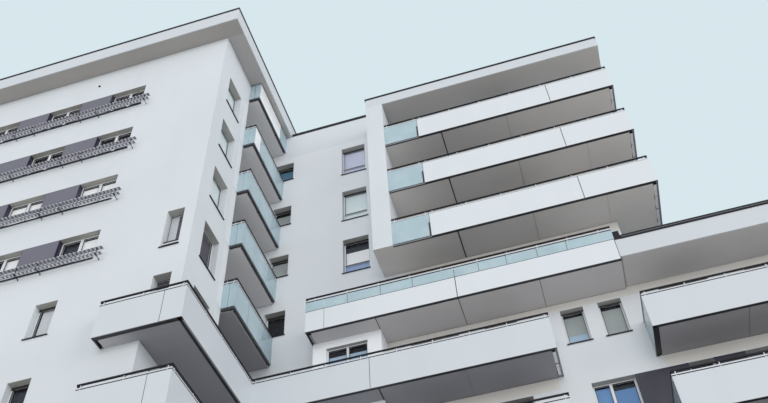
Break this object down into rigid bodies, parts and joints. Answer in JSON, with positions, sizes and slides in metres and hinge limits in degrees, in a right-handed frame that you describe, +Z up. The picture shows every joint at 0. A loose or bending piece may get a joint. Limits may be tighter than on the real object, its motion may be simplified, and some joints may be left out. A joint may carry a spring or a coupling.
{
  "type": "apartment block",
  "caption": "Apartment block with a cornice-topped tower, a stepped main block and a lower wing, with wrap-round panel balconies, glass balconies and slatted window guards",
  "frame": {"origin": "centre of the building's bounding box at ground level", "axes": "+Z up, the street front looks along -Y, the tower stands at -X and the wing at +X"},
  "size_m": [35.04, 18.5, 34.305],
  "materials": {
    "render": "fine painted mineral render",
    "soffit": "plain painted concrete",
    "panel": "smooth white board with a satin coat",
    "infill": "satin mauve-grey sheet",
    "dark_metal": "satin, nearly black",
    "blade": "satin grey",
    "balcony_glass": "clear with a pale blue-green tint",
    "window_glass": "clear and reflective",
    "concrete": "bare concrete"
  },
  "bodies": {
    "root": {"ground_slab": "concrete", "floor_slabs": "render", "roof_slabs": "concrete", "tower_front_wall": "render", "tower_left_wall": "render", "tower_side_wall": "render", "loggia_walls": "render", "main_front_wall": "render", "main_right_wall": "render", "wing_end_wall": "render", "back_wall": "render", "bay_walls": "render", "tower_parapet": "render", "tower_cornice": "render", "main_parapet": "render", "wing_parapet": "render", "roof_copings": "dark_metal", "canopy_slab": "render", "balcony_pier": "render", "upper_balcony_slabs": "soffit", "upper_balcony_panels": "panel", "upper_balcony_glass": "balcony_glass", "upper_balcony_railings": "dark_metal", "terrace_slab": "render", "terrace_panels": "panel", "terrace_glass": "balcony_glass", "terrace_railing": "dark_metal", "wing_eaves": "render", "terrace_end_box": "dark_metal", "corner_balcony_slabs": "soffit", "corner_balcony_panels": "panel", "corner_balcony_railings": "dark_metal", "wing_balcony_slabs": "soffit", "wing_balcony_panels": "panel", "wing_balcony_glass": "balcony_glass", "wing_balcony_railings": "dark_metal", "glass_balcony_slabs": "soffit", "glass_balcony_panes": "balcony_glass", "glass_balcony_railings": "dark_metal", "balcony_brackets": "dark_metal", "infill_panels": "infill", "window_guards": "blade", "window_sills": "dark_metal", "window_glazing": "window_glass", "entrance_door": "dark_metal"}
  },
  "joints": []
}
